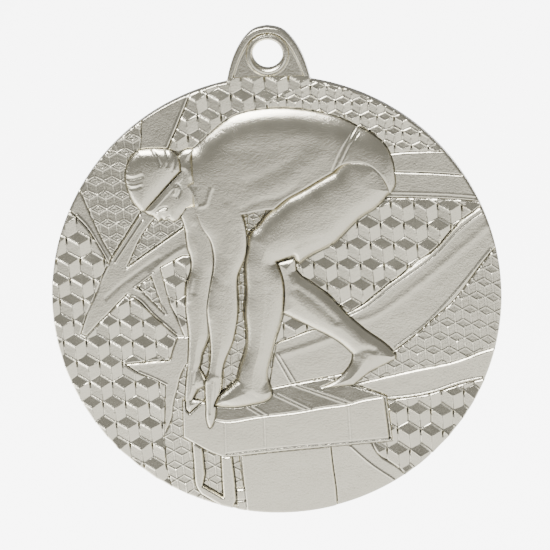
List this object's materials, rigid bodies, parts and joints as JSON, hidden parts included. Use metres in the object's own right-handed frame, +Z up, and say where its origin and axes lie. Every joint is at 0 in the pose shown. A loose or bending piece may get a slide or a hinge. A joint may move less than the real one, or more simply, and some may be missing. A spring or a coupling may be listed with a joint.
{
  "type": "sports medal",
  "caption": "Round hanging sports medal with a raised swimmer poised on a starting block, cube mosaic ground and a pierced loop for a ribbon.",
  "frame": {"origin": "centre of the ribbon hole on the medal's back face", "axes": "+Z up towards the loop's tip as the medal hangs, front (the relief) towards -Y, back towards +Y, +X to the right seen from the front"},
  "size_m": [0.05, 0.0028, 0.0556],
  "materials": {
    "silver_metal": "satin"
  },
  "bodies": {
    "root": {"band_curved": "silver_metal", "band_hip_lower": "silver_metal", "band_hip_upper": "silver_metal", "band_left": "silver_metal", "band_lower_right": "silver_metal", "band_rim": "silver_metal", "band_upper": "silver_metal", "band_wedge": "silver_metal", "block_front": "silver_metal", "block_pillar": "silver_metal", "block_top": "silver_metal", "cubes_beside_arm": "silver_metal", "cubes_between_legs": "silver_metal", "cubes_left": "silver_metal", "cubes_lower_right": "silver_metal", "cubes_right": "silver_metal", "cubes_top": "silver_metal", "fine_cubes_chin": "silver_metal", "fine_cubes_gaps": "silver_metal", "fine_cubes_lower_left": "silver_metal", "fine_cubes_right": "silver_metal", "fine_cubes_upper_left": "silver_metal", "fine_cubes_upper_right": "silver_metal", "fine_cubes_wedge": "silver_metal", "hanging_loop": "silver_metal", "medal_blank": "silver_metal", "panel_right": "silver_metal", "panel_under_knee": "silver_metal", "step_handle": "silver_metal", "swimmer_cap": "silver_metal", "swimmer_far_arm": "silver_metal", "swimmer_head": "silver_metal", "swimmer_near_arm": "silver_metal", "swimmer_near_leg": "silver_metal", "swimmer_rear_leg": "silver_metal", "swimmer_torso": "silver_metal", "swimmer_trunks": "silver_metal"}
  },
  "joints": []
}
